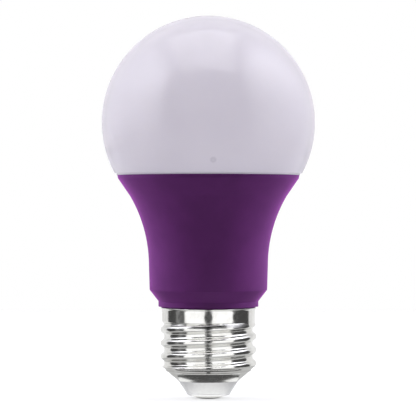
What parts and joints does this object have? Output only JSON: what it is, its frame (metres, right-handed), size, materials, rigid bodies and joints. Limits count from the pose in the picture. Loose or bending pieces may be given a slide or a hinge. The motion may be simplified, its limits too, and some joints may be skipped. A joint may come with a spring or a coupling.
{
  "type": "led bulb",
  "caption": "LED lamp with an opal ball globe, a purple flared housing and a metal screw cap with an insulated centre contact.",
  "frame": {"origin": "centre of the centre contact's face, the lowest point of the lamp", "axes": "+Z along the lamp's axis from the contact to the top of the globe; +X to the right and +Y away in the picture's view"},
  "size_m": [0.058, 0.058, 0.104],
  "materials": {
    "opal_plastic": "opal satin",
    "silicone": "soft",
    "purple_plastic": "matte",
    "nickel_plate": "bright plated",
    "insulator_plastic": "semi-gloss",
    "contact_metal": "tinned",
    "aluminium": "pressed",
    "white_board": "white solder mask",
    "led_phosphor": "phosphor",
    "steel": "zinc plated",
    "green_board": "solder mask",
    "black_sleeve": "shrink sleeve",
    "ferrite": "sintered",
    "copper": "enamelled wire",
    "black_moulding": "moulded",
    "resistor_lacquer": "lacquered"
  },
  "bodies": {
    "root": {"diffuser_globe": "opal_plastic", "globe_seal": "silicone", "housing": "purple_plastic", "screw_shell": "nickel_plate", "cap_insulator": "insulator_plastic", "centre_contact": "contact_metal", "heat_spreader": "aluminium", "led_board": "white_board", "led_packages": "led_phosphor", "board_screws": "steel", "board_connector": "insulator_plastic", "header_pins": "contact_metal", "driver_board": "green_board", "input_capacitor": "black_sleeve", "output_capacitor": "black_sleeve", "choke_core": "ferrite", "choke_winding": "copper", "driver_chip": "black_moulding", "bridge_rectifier": "black_moulding", "fusible_resistor": "resistor_lacquer", "neutral_wire": "contact_metal"}
  },
  "joints": []
}
